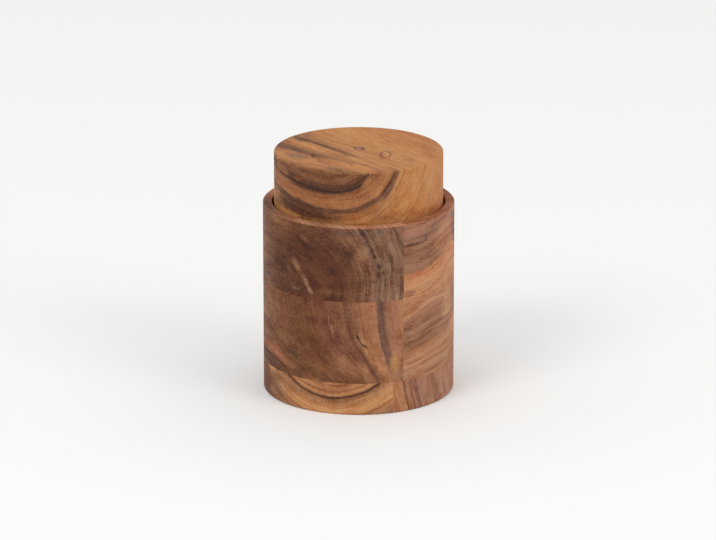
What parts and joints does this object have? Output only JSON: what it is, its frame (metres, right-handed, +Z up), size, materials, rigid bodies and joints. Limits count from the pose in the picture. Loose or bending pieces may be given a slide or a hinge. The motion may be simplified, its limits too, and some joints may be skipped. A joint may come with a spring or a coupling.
{
  "type": "wooden canister",
  "caption": "Round storage canister turned from a glued-up block of figured hardwood, with a stepped mouth and a lift-off wooden lid that carries a soft lipped seal.",
  "frame": {"origin": "centre of the underside, on the turning axis", "axes": "+Z up along the turning axis, -Y towards the viewer of the picture, +X to that viewer's right"},
  "size_m": [0.127, 0.127, 0.1636],
  "materials": {
    "upper_left_wood": "satin oiled dark heartwood",
    "upper_right_wood": "satin oiled reddish heartwood",
    "middle_left_wood": "satin oiled calm red-brown heartwood",
    "middle_right_wood": "satin oiled tan heartwood",
    "base_left_wood": "satin oiled pale wood near the sap",
    "base_right_wood": "satin oiled reddish tan heartwood",
    "lid_wood": "satin oiled figured heartwood",
    "seal_silicone": "matt milky silicone"
  },
  "bodies": {
    "canister": {"base_left_block": "base_left_wood", "base_right_block": "base_right_wood", "middle_left_block": "middle_left_wood", "middle_right_block": "middle_right_wood", "upper_left_block": "upper_left_wood", "upper_right_block": "upper_right_wood"},
    "lid": {"lid_block": "lid_wood", "lid_seal": "seal_silicone"}
  },
  "joints": [
    {"name": "lid_lift", "type": "slide", "parent": "canister", "child": "lid", "axis": [0, 0, 1], "range_m": [0, 0.04]}
  ]
}
